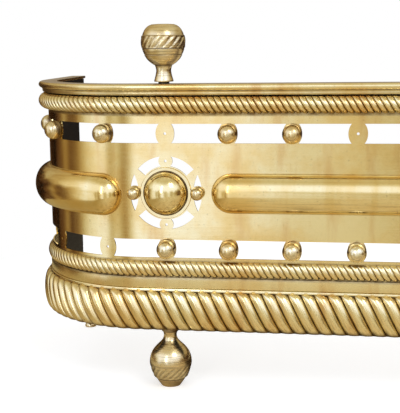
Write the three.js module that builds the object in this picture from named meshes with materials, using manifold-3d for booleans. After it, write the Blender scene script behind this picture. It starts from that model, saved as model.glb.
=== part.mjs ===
// A polished brass fire fender: a U-shaped guard that stands round a hearth.
// A pierced sheet wall carries rope mouldings, a gadrooned base, hollow bosses, two rosettes and rows
// of small balls, and iron bars inside hold the mouldings, the finials and the feet.
// Units are millimetres. +Z is up, the front faces -Y and the open side faces +Y. The origin lies on
// the floor under the middle of the fender's bounding box.
//
// The plan is one path along the outer face of the wall. A place on the path is its distance along it
// from the middle of the front, positive to the right. A section is drawn as [out, z] points, where
// out is the distance outward from the wall's outer face and z is the height above the floor.

import * as THREE from 'three';
import { mergeVertices } from 'three/addons/utils/BufferGeometryUtils.js';
import Module from 'manifold-3d';

// ---- Driving dimensions -------------------------------------------------------------------------

// Plan, measured to the outer face of the sheet wall
const WALL_WIDTH = 924;
const WALL_DEPTH = 192;
const CORNER_RADIUS = 107;
const SHEET_THICKNESS = 1.2;
const GAP = 0.3; // left between pieces that touch
const HOLE_CLEARANCE = 0.6; // how much wider a hole is than its shank

// Heights, stacked up from the floor
const FOOT_HEIGHT = 53.6;
const GADROON_HEIGHT = 38;
const FILLET_HEIGHT = 10;
const LOWER_ROPE_HEIGHT = 14.2;
const LOWER_RIM_HEIGHT = 2.8;
const LOWER_SLOT_HEIGHT = 16.2;
const PANEL_HEIGHT = 84.9;
const UPPER_SLOT_HEIGHT = 16.7;
const UPPER_RIM_HEIGHT = 8.7;
const UPPER_ROPE_HEIGHT = 16.1;
const COVE_HEIGHT = 4;
const RAIL_THICKNESS = 5.7;
const RAIL_PLATE_THICKNESS = 2.4; // behind its nose

// How far the mouldings stand out from the wall
const GADROON_FOOTING = 3;
const GADROON_PROUD = 9.9;
const GADROON_GROOVE_DEPTH = 2.4; // between the slanting lobes
const GADROON_LOBE_WIDTH = 11.4; // along the wall, fitted to a whole number of lobes
const GADROON_LEAN = 20; // how far right of its head a lobe's lower end lies
const FILLET_PROUD = 2.2;
const LOWER_ROPE_PROUD = 4.6;
const UPPER_ROPE_PROUD = 8.9;
const COVE_PROUD_LOW = 4.6;
const COVE_PROUD_HIGH = 5.6;
const COVE_EASE = 0.8; // how far the cove draws in below the rail's nose
const RAIL_PROUD = 8.3;
const RAIL_INWARD = 9;
const RAIL_OVERRUN = 3; // past the rear end of the wall

// Iron inside the brass
const TOP_BAR_PROUD = 2.9;
const TOP_BAR_INWARD = 8;
const BASE_BAR_THICKNESS = 4.7;
const BASE_BAR_PROUD = 1.5;
const BASE_BAR_INWARD = 16;
const END_PLATE_THICKNESS = 3;
const END_PLATE_LENGTH = 68;
const END_PLATE_SETBACK = 11; // from the rear end of the wall

// Slots, discs and balls
const BALL_PITCH = 55;
const FIRST_BALL_INSET = 70; // least distance from the side of the wall to the outermost column
const SLOT_END_MARGIN = 24; // sheet left whole at the rear end of each return
const DISC_WIDTH = 16.4;
const DISC_STRETCH = 1.35; // drawn out up and down, so that a disc runs into the sheet at both edges
const CORNER_COLUMN_SHIFT = 9; // past the middle of the corner
const MIDDLE_LINE_DROP = 1; // the rosettes and bosses sit this far below the middle of the panel
const BALL_DIAMETER = 17;
const BALL_SEAT_DEPTH = 4.5; // from the ball's centre to its flat back
const BALL_SHANK_DIAMETER = 3;
const SHANK_PROTRUSION = 2; // behind the sheet
// Discs that carry no ball, by column counted from the middle, on both sides alike
const UPPER_BARE_DISCS = ['3', '6'];
const LOWER_BARE_DISCS = ['7', 'corner', 'return'];

// Rosettes
const DOME_DIAMETER = 37.4;
const DOME_PROUD = 17;
const DOME_FLANGE_DIAMETER = 45.2;
const DOME_THICKNESS = 1.5;
const DOME_STUD_DIAMETER = 4;
const ROSETTE_SLOT_INNER_RADIUS = 23.7;
const ROSETTE_SLOT_OUTER_RADIUS = 32.2;
const ROSETTE_SLOT_START_DEGREES = 40;
const ROSETTE_DISC_RING_RADIUS = 28;
const ROSETTE_DISC_DIAMETER = 12.4;
const ROSETTE_BALL_DIAMETER = 11.5;
const ROSETTE_BALL_SEAT_DEPTH = 4.6;
const SPEAR_HEIGHT = 32.6; // pointed piercing behind each rosette ball, tip to tip
const SPEAR_WIDTH = 7.6;

// Bosses
const BOSS_THICKNESS = 1.2;
const LONG_BOSS_HEIGHT = 35;
const LONG_BOSS_PROUD = 13;
const LONG_BOSS_END_GAP = 40; // from a rosette's centre to the boss's rounded end
const CORNER_BOSS_HEIGHT = 38;
const CORNER_BOSS_PROUD = 14.7;
const CORNER_BOSS_DROP = 2.5; // below the middle of the panel
const CORNER_BOSS_END_GAP = 40;
const CORNER_BOSS_REAR_MARGIN = 25;

// Finials, feet and their fixings
const FINIAL_HEIGHT = 48.6;
const FINIAL_BALL_RADIUS = 19.1;
const FINIAL_OUT = -0.5; // centred on the rail
const FINIAL_SHANK_DIAMETER = 5;
const WASHER_THICKNESS = 1.2;
const WASHER_DIAMETER = 9.6;
const FOOT_BALL_RADIUS = 19;
const FOOT_OUT = -7.5;
const FOOT_SHANK_DIAMETER = 6;
const FOOT_SHANK_TAIL = 2; // above the nut
const NUT_ACROSS_FLATS = 10;
const NUT_HEIGHT = 5;
const REAR_FOOT_OUT = -9.5;
const REAR_FOOT_SETBACK = 9;
const REAR_FOOT_PAD_RADIUS = 6;
const REAR_FOOT_STEM_RADIUS = 4;

// Smoothness of the faceted solids
const CORNER_STEPS = 8;
const MOULDING_STEPS = 6;
const BOSS_END_STEPS = 4;
const BALL_SEGMENTS = 10;
const BALL_STEPS = 4;
const TURNED_SEGMENTS = 14;
const DISC_SEGMENTS = 12;
const HOLE_SEGMENTS = 6;
const FIRST_BOSS_RING = 0.4; // of a step in from the boss's end, where its first ring lies
const LEAST_RING_SPACING = 1;

// ---- Sizes worked out from them -----------------------------------------------------------------

const frontHalf = WALL_WIDTH / 2 - CORNER_RADIUS; // straight front, from its middle to the corner
const cornerLength = CORNER_RADIUS * Math.PI / 2;
const returnLength = WALL_DEPTH - CORNER_RADIUS;
const pathEnd = frontHalf + cornerLength + returnLength;

const gadroonTop = FOOT_HEIGHT + GADROON_HEIGHT;
const filletTop = gadroonTop + FILLET_HEIGHT;
const lowerRopeTop = filletTop + LOWER_ROPE_HEIGHT;
const lowerSlotBottom = lowerRopeTop + LOWER_RIM_HEIGHT;
const panelBottom = lowerSlotBottom + LOWER_SLOT_HEIGHT;
const panelTop = panelBottom + PANEL_HEIGHT;
const upperSlotTop = panelTop + UPPER_SLOT_HEIGHT;
const upperRopeBottom = upperSlotTop + UPPER_RIM_HEIGHT;
const upperRopeTop = upperRopeBottom + UPPER_ROPE_HEIGHT;
const railBottom = upperRopeTop + COVE_HEIGHT;
const railTop = railBottom + RAIL_THICKNESS;
const railPlateBottom = railTop - RAIL_PLATE_THICKNESS;
const panelMiddle = (panelBottom + panelTop) / 2 - MIDDLE_LINE_DROP;

const baseBarBottom = FOOT_HEIGHT + GAP;
const baseBarTop = baseBarBottom + BASE_BAR_THICKNESS;
const wallInside = -SHEET_THICKNESS;
const throughSheet = 4 * SHEET_THICKNESS; // how far a cutter reaches past the sheet on each side

const columnsPerSide = Math.floor((WALL_WIDTH / 2 - FIRST_BALL_INSET) / BALL_PITCH);
const rosettePlace = (columnsPerSide - 1) * BALL_PITCH;
const slotEnd = pathEnd - SLOT_END_MARGIN;

const frontReach = Math.max(
  GAP + DOME_PROUD,
  GAP + BALL_SEAT_DEPTH + BALL_DIAMETER / 2,
  CORNER_BOSS_PROUD,
  LONG_BOSS_PROUD,
  FINIAL_OUT + FINIAL_BALL_RADIUS,
);
const middleDepth = (WALL_DEPTH + RAIL_OVERRUN - frontReach) / 2;

// ---- Materials ----------------------------------------------------------------------------------

function metal(color, roughness) {
  return new THREE.MeshStandardMaterial({ color, roughness, metalness: 1 });
}

const polishedBrass = metal(0xc9a85a, 0.22);
const agedBrass = metal(0xb0904c, 0.35);
const turnedBrass = metal(0xbfa05c, 0.28);
const blackIron = metal(0x1d1c1f, 0.6);
const brightSteel = metal(0x6b6964, 0.4);

// ---- Helpers ------------------------------------------------------------------------------------

const wasm = await Module();
wasm.setup();

const fender = new THREE.Group();
fender.position.y = -middleDepth;

function addPiece(name, geometry, material) {
  const mesh = new THREE.Mesh(geometry, material);
  mesh.name = name;
  fender.add(mesh);
  return mesh;
}

function toSolid(geometry) {
  const bare = geometry.clone();
  bare.deleteAttribute('normal');
  bare.deleteAttribute('uv');
  const merged = mergeVertices(bare, 1e-4);
  return new wasm.Manifold(new wasm.Mesh({
    numProp: 3,
    vertProperties: new Float32Array(merged.attributes.position.array),
    triVerts: new Uint32Array(merged.index.array),
  }));
}

function toGeometry(solid) {
  const mesh = solid.getMesh();
  const geometry = new THREE.BufferGeometry();
  geometry.setAttribute('position', new THREE.BufferAttribute(mesh.vertProperties, 3));
  geometry.setIndex(new THREE.BufferAttribute(mesh.triVerts, 1));
  return geometry;
}

function cut(geometry, cutters) {
  let solid = toSolid(geometry);
  for (const cutter of cutters) {
    solid = solid.subtract(toSolid(cutter));
  }
  return toGeometry(solid);
}

// Where a place on the path lies in plan, and which way is outward there
function pathFrame(place) {
  const side = Math.sign(place) || 1;
  const along = Math.abs(place);
  const turn = THREE.MathUtils.clamp((along - frontHalf) / CORNER_RADIUS, 0, Math.PI / 2);
  const outward = new THREE.Vector3(side * Math.sin(turn), -Math.cos(turn), 0);
  const point = new THREE.Vector3(
    side * (Math.min(along, frontHalf) + CORNER_RADIUS * Math.sin(turn)),
    CORNER_RADIUS * (1 - Math.cos(turn)) + Math.max(0, along - frontHalf - cornerLength),
    0,
  );
  return { point, outward };
}

function onPath(place, out, z) {
  const { point, outward } = pathFrame(place);
  point.addScaledVector(outward, out);
  point.z = z;
  return point;
}

// Places at which a sweep from one place to another has a ring: its ends and the steps of the corners
function sweepPlaces(from, to) {
  const places = [from, to];
  for (const side of [-1, 1]) {
    for (let step = 0; step <= CORNER_STEPS; step += 1) {
      const place = side * (frontHalf + cornerLength * step / CORNER_STEPS);
      if (place > from + LEAST_RING_SPACING && place < to - LEAST_RING_SPACING) places.push(place);
    }
  }
  return places.sort((a, b) => a - b);
}

// A closed solid through rings of [place, out, z] points, which all go round in the same order
function loft(rings) {
  const middle = rings[Math.floor(rings.length / 2)].map(([, out, z]) => new THREE.Vector2(out, z));
  const clockwise = THREE.ShapeUtils.isClockWise(middle);
  const contour = clockwise ? middle : middle.reverse();
  const count = contour.length;
  const positions = [];
  for (const ring of rings) {
    for (const point of clockwise ? ring : [...ring].reverse()) {
      positions.push(...onPath(...point).toArray());
    }
  }
  const faces = [];
  for (let ring = 0; ring < rings.length - 1; ring += 1) {
    for (let corner = 0; corner < count; corner += 1) {
      const a = ring * count + corner;
      const b = ring * count + (corner + 1) % count;
      faces.push(a, b, b + count, a, b + count, a + count);
    }
  }
  const lastRing = (rings.length - 1) * count;
  for (const [a, b, c] of THREE.ShapeUtils.triangulateShape(contour, [])) {
    faces.push(a, b, c);
    faces.push(lastRing + a, lastRing + c, lastRing + b);
  }
  const geometry = new THREE.BufferGeometry();
  geometry.setAttribute('position', new THREE.Float32BufferAttribute(positions, 3));
  geometry.setIndex(faces);
  return geometry;
}

function sweep(section, from = -pathEnd, to = pathEnd) {
  return loft(sweepPlaces(from, to).map((place) => section.map(([out, z]) => [place, out, z])));
}

function rectangle(outLow, outHigh, zLow, zHigh) {
  return [[outLow, zLow], [outHigh, zLow], [outHigh, zHigh], [outLow, zHigh]];
}

// Points of a half ellipse that bulges outward, from its bottom to its top
function bulge(outBack, outFront, zLow, zHigh) {
  const points = [];
  for (let step = 0; step <= MOULDING_STEPS; step += 1) {
    const angle = -Math.PI / 2 + Math.PI * step / MOULDING_STEPS;
    points.push([
      outBack + (outFront - outBack) * Math.cos(angle),
      (zLow + zHigh) / 2 + (zHigh - zLow) / 2 * Math.sin(angle),
    ]);
  }
  return points;
}

// A turned piece: [radius, height] points from the bottom on the axis to the top on the axis
function turned(profile, segments = TURNED_SEGMENTS) {
  const points = profile.map(([radius, height]) => new THREE.Vector2(radius, height));
  return new THREE.LatheGeometry(points, segments).rotateX(Math.PI / 2);
}

// Radius of a hole for a shank, measured to the corners of the many-sided hole, which clears the
// shank on its flats
function holeRadius(shankDiameter) {
  return (shankDiameter + HOLE_CLEARANCE) / 2 / Math.cos(Math.PI / HOLE_SEGMENTS);
}

function uprightCylinder(radius, zLow, zHigh, at, segments = HOLE_SEGMENTS) {
  const cylinder = new THREE.CylinderGeometry(radius, radius, zHigh - zLow, segments);
  cylinder.rotateX(Math.PI / 2);
  return cylinder.translate(at.x, at.y, (zLow + zHigh) / 2);
}

// Turns a shape that was made along +Z so that +Z points outward at a place on the path
function faceOutward(geometry, place, z) {
  const { outward } = pathFrame(place);
  const up = new THREE.Vector3(0, 0, 1);
  const across = new THREE.Vector3().crossVectors(up, outward);
  const spot = onPath(place, 0, z);
  return geometry.applyMatrix4(new THREE.Matrix4().makeBasis(across, up, outward).setPosition(spot));
}

function sheetPlug(radius, place, z, segments, stretch = 1) {
  const plug = new THREE.CylinderGeometry(radius, radius, 2 * throughSheet, segments);
  return faceOutward(plug.rotateX(Math.PI / 2).scale(1, stretch, 1), place, z);
}

// A piercing of the sheet, from a shape drawn in the plane of the sheet round the place
function sheetPiercing(shape, place, z) {
  const options = { depth: 2 * throughSheet, bevelEnabled: false, curveSegments: MOULDING_STEPS };
  const block = new THREE.ExtrudeGeometry(shape, options).translate(0, 0, -throughSheet);
  return faceOutward(block, place, z);
}

// ---- Stations along the slots -------------------------------------------------------------------

const discStations = [{ label: 'centre', key: '0', place: 0 }];
for (const [sideName, side] of [['left', -1], ['right', 1]]) {
  for (let column = 1; column <= columnsPerSide; column += 1) {
    discStations.push({ label: `${sideName}_${column}`, key: `${column}`, place: side * column * BALL_PITCH });
  }
  const cornerColumn = side * (frontHalf + cornerLength / 2 + CORNER_COLUMN_SHIFT);
  const returnStart = side * (frontHalf + cornerLength);
  discStations.push({ label: `${sideName}_corner`, key: 'corner', place: cornerColumn });
  discStations.push({ label: `${sideName}_return`, key: 'return', place: returnStart });
}

const slotRows = [
  { name: 'upper', bottom: panelTop, height: UPPER_SLOT_HEIGHT, bare: UPPER_BARE_DISCS },
  { name: 'lower', bottom: lowerSlotBottom, height: LOWER_SLOT_HEIGHT, bare: LOWER_BARE_DISCS },
];

const sides = [['left', -1], ['right', 1]];

// ---- Pierced sheet wall -------------------------------------------------------------------------

function slotCutter(row) {
  const section = rectangle(-throughSheet, throughSheet, row.bottom, row.bottom + row.height);
  let slot = toSolid(sweep(section, -slotEnd, slotEnd));
  for (const { place } of discStations) {
    const middle = row.bottom + row.height / 2;
    const disc = sheetPlug(DISC_WIDTH / 2, place, middle, DISC_SEGMENTS, DISC_STRETCH);
    slot = slot.subtract(toSolid(disc));
  }
  return slot;
}

function annularSlot(startDegrees, endDegrees) {
  const start = THREE.MathUtils.degToRad(startDegrees);
  const end = THREE.MathUtils.degToRad(endDegrees);
  const shape = new THREE.Shape();
  shape.absarc(0, 0, ROSETTE_SLOT_OUTER_RADIUS, start, end, false);
  shape.absarc(0, 0, ROSETTE_SLOT_INNER_RADIUS, end, start, true);
  shape.closePath();
  return shape;
}

// A pointed oval, drawn round the middle of a rosette ball
function spear(centre) {
  const shape = new THREE.Shape();
  shape.moveTo(centre, -SPEAR_HEIGHT / 2);
  shape.quadraticCurveTo(centre + SPEAR_WIDTH, 0, centre, SPEAR_HEIGHT / 2);
  shape.quadraticCurveTo(centre - SPEAR_WIDTH, 0, centre, -SPEAR_HEIGHT / 2);
  return shape;
}

function rosetteCutters(place) {
  const discRadius = ROSETTE_DISC_DIAMETER / 2;
  const cutters = [];
  for (const middle of [90, 270]) {
    const reach = 90 - ROSETTE_SLOT_START_DEGREES;
    const slot = toSolid(sheetPiercing(annularSlot(middle - reach, middle + reach), place, panelMiddle));
    const z = panelMiddle + Math.sign(180 - middle) * ROSETTE_DISC_RING_RADIUS;
    cutters.push(slot.subtract(toSolid(sheetPlug(discRadius, place, z, DISC_SEGMENTS))));
  }
  for (const side of [-1, 1]) {
    const opening = toSolid(sheetPiercing(spear(side * ROSETTE_DISC_RING_RADIUS), place, panelMiddle));
    const seat = sheetPlug(discRadius, place + side * ROSETTE_DISC_RING_RADIUS, panelMiddle, DISC_SEGMENTS);
    cutters.push(opening.subtract(toSolid(seat)));
  }
  return cutters;
}

function makeWall() {
  const section = rectangle(wallInside, 0, baseBarTop + GAP, upperRopeTop);
  let wall = toSolid(sweep(section));
  const holes = [];
  const ballHole = holeRadius(BALL_SHANK_DIAMETER);
  for (const row of slotRows) {
    wall = wall.subtract(slotCutter(row));
    for (const { place } of discStations) {
      holes.push(sheetPlug(ballHole, place, row.bottom + row.height / 2, HOLE_SEGMENTS));
    }
  }
  for (const [, side] of sides) {
    const place = side * rosettePlace;
    for (const cutter of rosetteCutters(place)) {
      wall = wall.subtract(cutter);
    }
    holes.push(sheetPlug(holeRadius(DOME_STUD_DIAMETER), place, panelMiddle, HOLE_SEGMENTS));
    for (const step of [-1, 1]) {
      const across = step * ROSETTE_DISC_RING_RADIUS;
      holes.push(sheetPlug(ballHole, place + across, panelMiddle, HOLE_SEGMENTS));
      holes.push(sheetPlug(ballHole, place, panelMiddle + across, HOLE_SEGMENTS));
    }
  }
  for (const hole of holes) {
    wall = wall.subtract(toSolid(hole));
  }
  return toGeometry(wall);
}

addPiece('pierced_wall', makeWall(), polishedBrass);

// ---- Mouldings ----------------------------------------------------------------------------------

// Slanting lobes: rings follow a ridge and a groove by turns, and lean as the lobes do. They run on
// past the rear ends of the wall, where they are cut square.
function makeGadroon() {
  const top = gadroonTop - GAP;
  const lip = BASE_BAR_PROUD + GAP;
  const middle = (FOOT_HEIGHT + top) / 2;
  const lobes = Math.round(2 * pathEnd / GADROON_LOBE_WIDTH);
  const halfLobe = pathEnd / lobes;
  const overrun = Math.ceil(GADROON_LEAN / halfLobe);
  const rings = [];
  for (let step = -lobes - overrun; step <= lobes + overrun; step += 1) {
    const place = step * halfLobe;
    const proud = step % 2 === 0 ? GADROON_PROUD : GADROON_PROUD - GADROON_GROOVE_DEPTH;
    const front = bulge(GADROON_FOOTING, proud, FOOT_HEIGHT, top);
    rings.push([
      [place, lip, FOOT_HEIGHT],
      ...front.map(([out, z]) => [place + GADROON_LEAN * (middle - z) / GADROON_HEIGHT, out, z]),
      [place, GAP, top],
      [place, GAP, baseBarTop + GAP],
      [place, lip, baseBarTop + GAP],
    ]);
  }
  const past = new THREE.BoxGeometry(2 * WALL_WIDTH, 2 * GADROON_LEAN, 2 * gadroonTop);
  return cut(loft(rings), [past.translate(0, WALL_DEPTH + GADROON_LEAN, gadroonTop)]);
}

function makeRope(proud, zLow, zHigh) {
  return sweep(bulge(GAP, proud, zLow, zHigh - GAP));
}

function makeTopRail() {
  const barEdge = TOP_BAR_PROUD + GAP;
  const nose = bulge(RAIL_PROUD - RAIL_THICKNESS / 2, RAIL_PROUD, railBottom, railTop);
  const rail = sweep([
    [barEdge, upperRopeTop + GAP],
    [COVE_PROUD_LOW, upperRopeTop + GAP],
    [COVE_PROUD_LOW, upperRopeTop + COVE_HEIGHT / 2],
    [COVE_PROUD_HIGH - COVE_EASE, railBottom],
    ...nose,
    [-RAIL_INWARD, railTop],
    [-RAIL_INWARD, railPlateBottom],
    [barEdge, railPlateBottom],
  ], -pathEnd - RAIL_OVERRUN, pathEnd + RAIL_OVERRUN);
  return cut(rail, finialHoles());
}

addPiece('gadroon_moulding', makeGadroon(), polishedBrass);
addPiece('base_fillet', sweep(rectangle(GAP, FILLET_PROUD, gadroonTop, filletTop - GAP)), polishedBrass);
addPiece('lower_rope_moulding', makeRope(LOWER_ROPE_PROUD, filletTop, lowerRopeTop), polishedBrass);
addPiece('upper_rope_moulding', makeRope(UPPER_ROPE_PROUD, upperRopeBottom, upperRopeTop), polishedBrass);
addPiece('top_rail', makeTopRail(), agedBrass);

// ---- Iron inside --------------------------------------------------------------------------------

function finialHoles() {
  const radius = holeRadius(FINIAL_SHANK_DIAMETER);
  return sides.map(([, side]) => {
    const at = onPath(side * rosettePlace, FINIAL_OUT, 0);
    return uprightCylinder(radius, upperRopeTop - COVE_HEIGHT, railTop + COVE_HEIGHT, at);
  });
}

function rearFootPlace(side) {
  return side * (pathEnd - REAR_FOOT_SETBACK);
}

function footHoles() {
  const radius = holeRadius(FOOT_SHANK_DIAMETER);
  const spots = [];
  for (const [, side] of sides) {
    spots.push(onPath(side * rosettePlace, FOOT_OUT, 0));
    spots.push(onPath(rearFootPlace(side), REAR_FOOT_OUT, 0));
  }
  return spots.map((at) => (
    uprightCylinder(radius, FOOT_HEIGHT - BASE_BAR_THICKNESS, baseBarTop + BASE_BAR_THICKNESS, at)
  ));
}

const topBarSection = rectangle(-TOP_BAR_INWARD, TOP_BAR_PROUD, upperRopeTop + GAP, railPlateBottom - GAP);
addPiece('iron_top_bar', cut(sweep(topBarSection), finialHoles()), blackIron);

const baseBarSection = rectangle(-BASE_BAR_INWARD, BASE_BAR_PROUD, baseBarBottom, baseBarTop);
addPiece('iron_base_frame', cut(sweep(baseBarSection), footHoles()), blackIron);

for (const [sideName, side] of sides) {
  const inner = wallInside - GAP;
  const section = rectangle(inner - END_PLATE_THICKNESS, inner, baseBarTop + GAP, upperRopeTop);
  const rear = pathEnd - END_PLATE_SETBACK;
  const ends = [side * (rear - END_PLATE_LENGTH), side * rear].sort((a, b) => a - b);
  addPiece(`end_plate_${sideName}`, sweep(section, ...ends), blackIron);
}

// ---- Bosses -------------------------------------------------------------------------------------

// A hollow half-round shell with rounded ends, open at its back
function makeBoss(from, to, middle, height, proud) {
  function form(inset, back) {
    const radius = height / 2 - inset;
    const section = bulge(back, proud - inset, middle - radius, middle + radius);
    const rings = [];
    // The section, drawn smaller about its back towards the boss's ends
    const addRing = (place, size) => rings.push(
      section.map(([out, z]) => [place, back + (out - back) * size, middle + (z - middle) * size]),
    );
    for (let step = 0; step < BOSS_END_STEPS; step += 1) {
      const angle = Math.PI / 2 * (step + FIRST_BOSS_RING) / BOSS_END_STEPS;
      const setback = inset + radius * (1 - Math.cos(angle));
      addRing(from + setback, Math.sin(angle));
      addRing(to - setback, Math.sin(angle));
    }
    const endLength = inset + radius;
    for (const place of sweepPlaces(from + endLength, to - endLength)) {
      addRing(place, 1);
    }
    return loft(rings.sort((a, b) => a[0][0] - b[0][0]));
  }
  return cut(form(0, GAP), [form(BOSS_THICKNESS, GAP - BOSS_THICKNESS)]);
}

const longBossEnd = rosettePlace - LONG_BOSS_END_GAP;
addPiece(
  'long_boss',
  makeBoss(-longBossEnd, longBossEnd, panelMiddle, LONG_BOSS_HEIGHT, LONG_BOSS_PROUD),
  polishedBrass,
);

for (const [sideName, side] of sides) {
  const near = side * (rosettePlace + CORNER_BOSS_END_GAP);
  const far = side * (pathEnd - CORNER_BOSS_REAR_MARGIN);
  const [from, to] = [near, far].sort((a, b) => a - b);
  const middle = panelMiddle - CORNER_BOSS_DROP;
  const boss = makeBoss(from, to, middle, CORNER_BOSS_HEIGHT, CORNER_BOSS_PROUD);
  addPiece(`corner_boss_${sideName}`, boss, polishedBrass);
}

// ---- Rosettes -----------------------------------------------------------------------------------

// A pressed dome with a flat flange and a stud behind it, hollow between stud and skin
function domeProfile() {
  const outer = [];
  const inner = [];
  for (let step = 0; step <= MOULDING_STEPS; step += 1) {
    const angle = Math.PI / 2 * step / MOULDING_STEPS;
    const closing = step === MOULDING_STEPS ? 0 : Math.cos(angle); // exactly 0 at the crown
    outer.push([DOME_DIAMETER / 2 * closing, DOME_PROUD * Math.sin(angle)]);
    inner.push([
      (DOME_DIAMETER / 2 - DOME_THICKNESS) * Math.cos(angle),
      (DOME_PROUD - DOME_THICKNESS) * Math.sin(angle),
    ]);
  }
  const studRadius = DOME_STUD_DIAMETER / 2;
  const cavity = inner.filter(([radius]) => radius > studRadius + DOME_THICKNESS);
  const studTop = cavity[cavity.length - 1][1];
  const studTail = -SHEET_THICKNESS - SHANK_PROTRUSION - GAP;
  return [
    [0, studTail],
    [studRadius, studTail],
    [studRadius, studTop],
    ...cavity.reverse(),
    [DOME_FLANGE_DIAMETER / 2, 0],
    [DOME_FLANGE_DIAMETER / 2, DOME_THICKNESS],
    [DOME_DIAMETER / 2, DOME_THICKNESS],
    ...outer.filter(([, height]) => height > DOME_THICKNESS),
  ];
}

// A ball with a flat back and a shank that passes through the sheet; z = 0 is its flat back
function ballProfile(diameter, seatDepth) {
  const radius = diameter / 2;
  const shank = BALL_SHANK_DIAMETER / 2;
  const tail = -GAP - SHEET_THICKNESS - SHANK_PROTRUSION;
  const points = [[0, tail], [shank, tail], [shank, 0]];
  const start = Math.asin(-seatDepth / radius);
  for (let step = 0; step <= BALL_STEPS; step += 1) {
    const angle = start + (Math.PI / 2 - start) * step / BALL_STEPS;
    points.push([step < BALL_STEPS ? radius * Math.cos(angle) : 0, seatDepth + radius * Math.sin(angle)]);
  }
  return points;
}

function addOutwardPiece(name, geometry, material, place, z) {
  const mesh = addPiece(name, geometry, material);
  mesh.position.copy(onPath(place, GAP, z));
  mesh.quaternion.setFromUnitVectors(new THREE.Vector3(0, 0, 1), pathFrame(place).outward);
}

for (const [sideName, side] of sides) {
  const place = side * rosettePlace;
  addOutwardPiece(`rosette_dome_${sideName}`, turned(domeProfile()), polishedBrass, place, panelMiddle);
  for (const [position, step] of [['outer', side], ['inner', -side]]) {
    const geometry = turned(ballProfile(ROSETTE_BALL_DIAMETER, ROSETTE_BALL_SEAT_DEPTH), BALL_SEGMENTS);
    const ballPlace = place + step * ROSETTE_DISC_RING_RADIUS;
    addOutwardPiece(`rosette_ball_${sideName}_${position}`, geometry, turnedBrass, ballPlace, panelMiddle);
  }
}

// ---- Slot balls ---------------------------------------------------------------------------------

for (const row of slotRows) {
  for (const { label, key, place } of discStations) {
    if (row.bare.includes(key)) continue;
    const geometry = turned(ballProfile(BALL_DIAMETER, BALL_SEAT_DEPTH), BALL_SEGMENTS);
    addOutwardPiece(`${row.name}_ball_${label}`, geometry, turnedBrass, place, row.bottom + row.height / 2);
  }
}

// ---- Finials ------------------------------------------------------------------------------------

const finialSeat = railTop + WASHER_THICKNESS + 2 * GAP;
const finialShankLength = finialSeat - upperRopeTop - 2 * GAP;

// Shares of the finial's height and of its ball radius, from the seat up
function finialProfile() {
  const outline = [
    [0.43, 0], [0.43, 0.026], [0.374, 0.094], [0.325, 0.172], [0.359, 0.241], [0.403, 0.282],
    [0.592, 0.341], [0.754, 0.41], [0.864, 0.489], [0.945, 0.568], [0.995, 0.645], [1, 0.734],
    [0.942, 0.773], [0.859, 0.834], [0.738, 0.911], [0.55, 0.976], [0.393, 1],
  ];
  const shank = FINIAL_SHANK_DIAMETER / 2;
  return [
    [0, -finialShankLength],
    [shank, -finialShankLength],
    [shank, 0],
    ...outline.map(([radius, height]) => [radius * FINIAL_BALL_RADIUS, height * FINIAL_HEIGHT]),
    [0, FINIAL_HEIGHT],
  ];
}

function washerProfile() {
  const bore = holeRadius(FINIAL_SHANK_DIAMETER);
  const rim = WASHER_DIAMETER / 2;
  return [[bore, 0], [rim, 0], [rim, WASHER_THICKNESS], [bore, WASHER_THICKNESS], [bore, 0]];
}

for (const [sideName, side] of sides) {
  const place = side * rosettePlace;
  const finial = addPiece(`finial_${sideName}`, turned(finialProfile()), turnedBrass);
  finial.position.copy(onPath(place, FINIAL_OUT, finialSeat));
  const washer = addPiece(`finial_washer_${sideName}`, turned(washerProfile(), BALL_SEGMENTS), blackIron);
  washer.position.copy(onPath(place, FINIAL_OUT, railTop + GAP));
}

// ---- Front feet ---------------------------------------------------------------------------------

// Shares of the foot's height and of its ball radius, from the floor up
function footProfile() {
  const outline = [
    [0.447, 0], [0.647, 0.068], [0.811, 0.134], [0.958, 0.252], [1, 0.357], [0.963, 0.4375],
    [0.91, 0.47], [0.789, 0.5375], [0.647, 0.605], [0.474, 0.671], [0.379, 0.723],
    [0.316, 0.823], [0.384, 0.907], [0.394, 1],
  ];
  const shank = FOOT_SHANK_DIAMETER / 2;
  const shankTop = baseBarTop + GAP + NUT_HEIGHT + FOOT_SHANK_TAIL;
  return [
    [0, 0],
    ...outline.map(([radius, height]) => [radius * FOOT_BALL_RADIUS, height * FOOT_HEIGHT]),
    [shank, FOOT_HEIGHT],
    [shank, shankTop],
    [0, shankTop],
  ];
}

function makeNut() {
  const nut = new THREE.Shape();
  const cornerRadius = NUT_ACROSS_FLATS / Math.sqrt(3);
  for (let corner = 0; corner < 6; corner += 1) {
    const angle = corner * Math.PI / 3;
    const point = [cornerRadius * Math.cos(angle), cornerRadius * Math.sin(angle)];
    if (corner === 0) nut.moveTo(...point);
    else nut.lineTo(...point);
  }
  nut.closePath();
  const bore = new THREE.Path();
  bore.absarc(0, 0, (FOOT_SHANK_DIAMETER + HOLE_CLEARANCE) / 2, 0, 2 * Math.PI, false);
  nut.holes.push(bore);
  return new THREE.ExtrudeGeometry(nut, { depth: NUT_HEIGHT, bevelEnabled: false, curveSegments: 6 });
}

for (const [sideName, side] of sides) {
  const place = side * rosettePlace;
  const foot = addPiece(`front_foot_${sideName}`, turned(footProfile()), turnedBrass);
  foot.position.copy(onPath(place, FOOT_OUT, 0));
  const nut = addPiece(`foot_nut_${sideName}`, makeNut(), brightSteel);
  nut.position.copy(onPath(place, FOOT_OUT, baseBarTop + GAP));
}

// ---- Rear feet ----------------------------------------------------------------------------------

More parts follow.
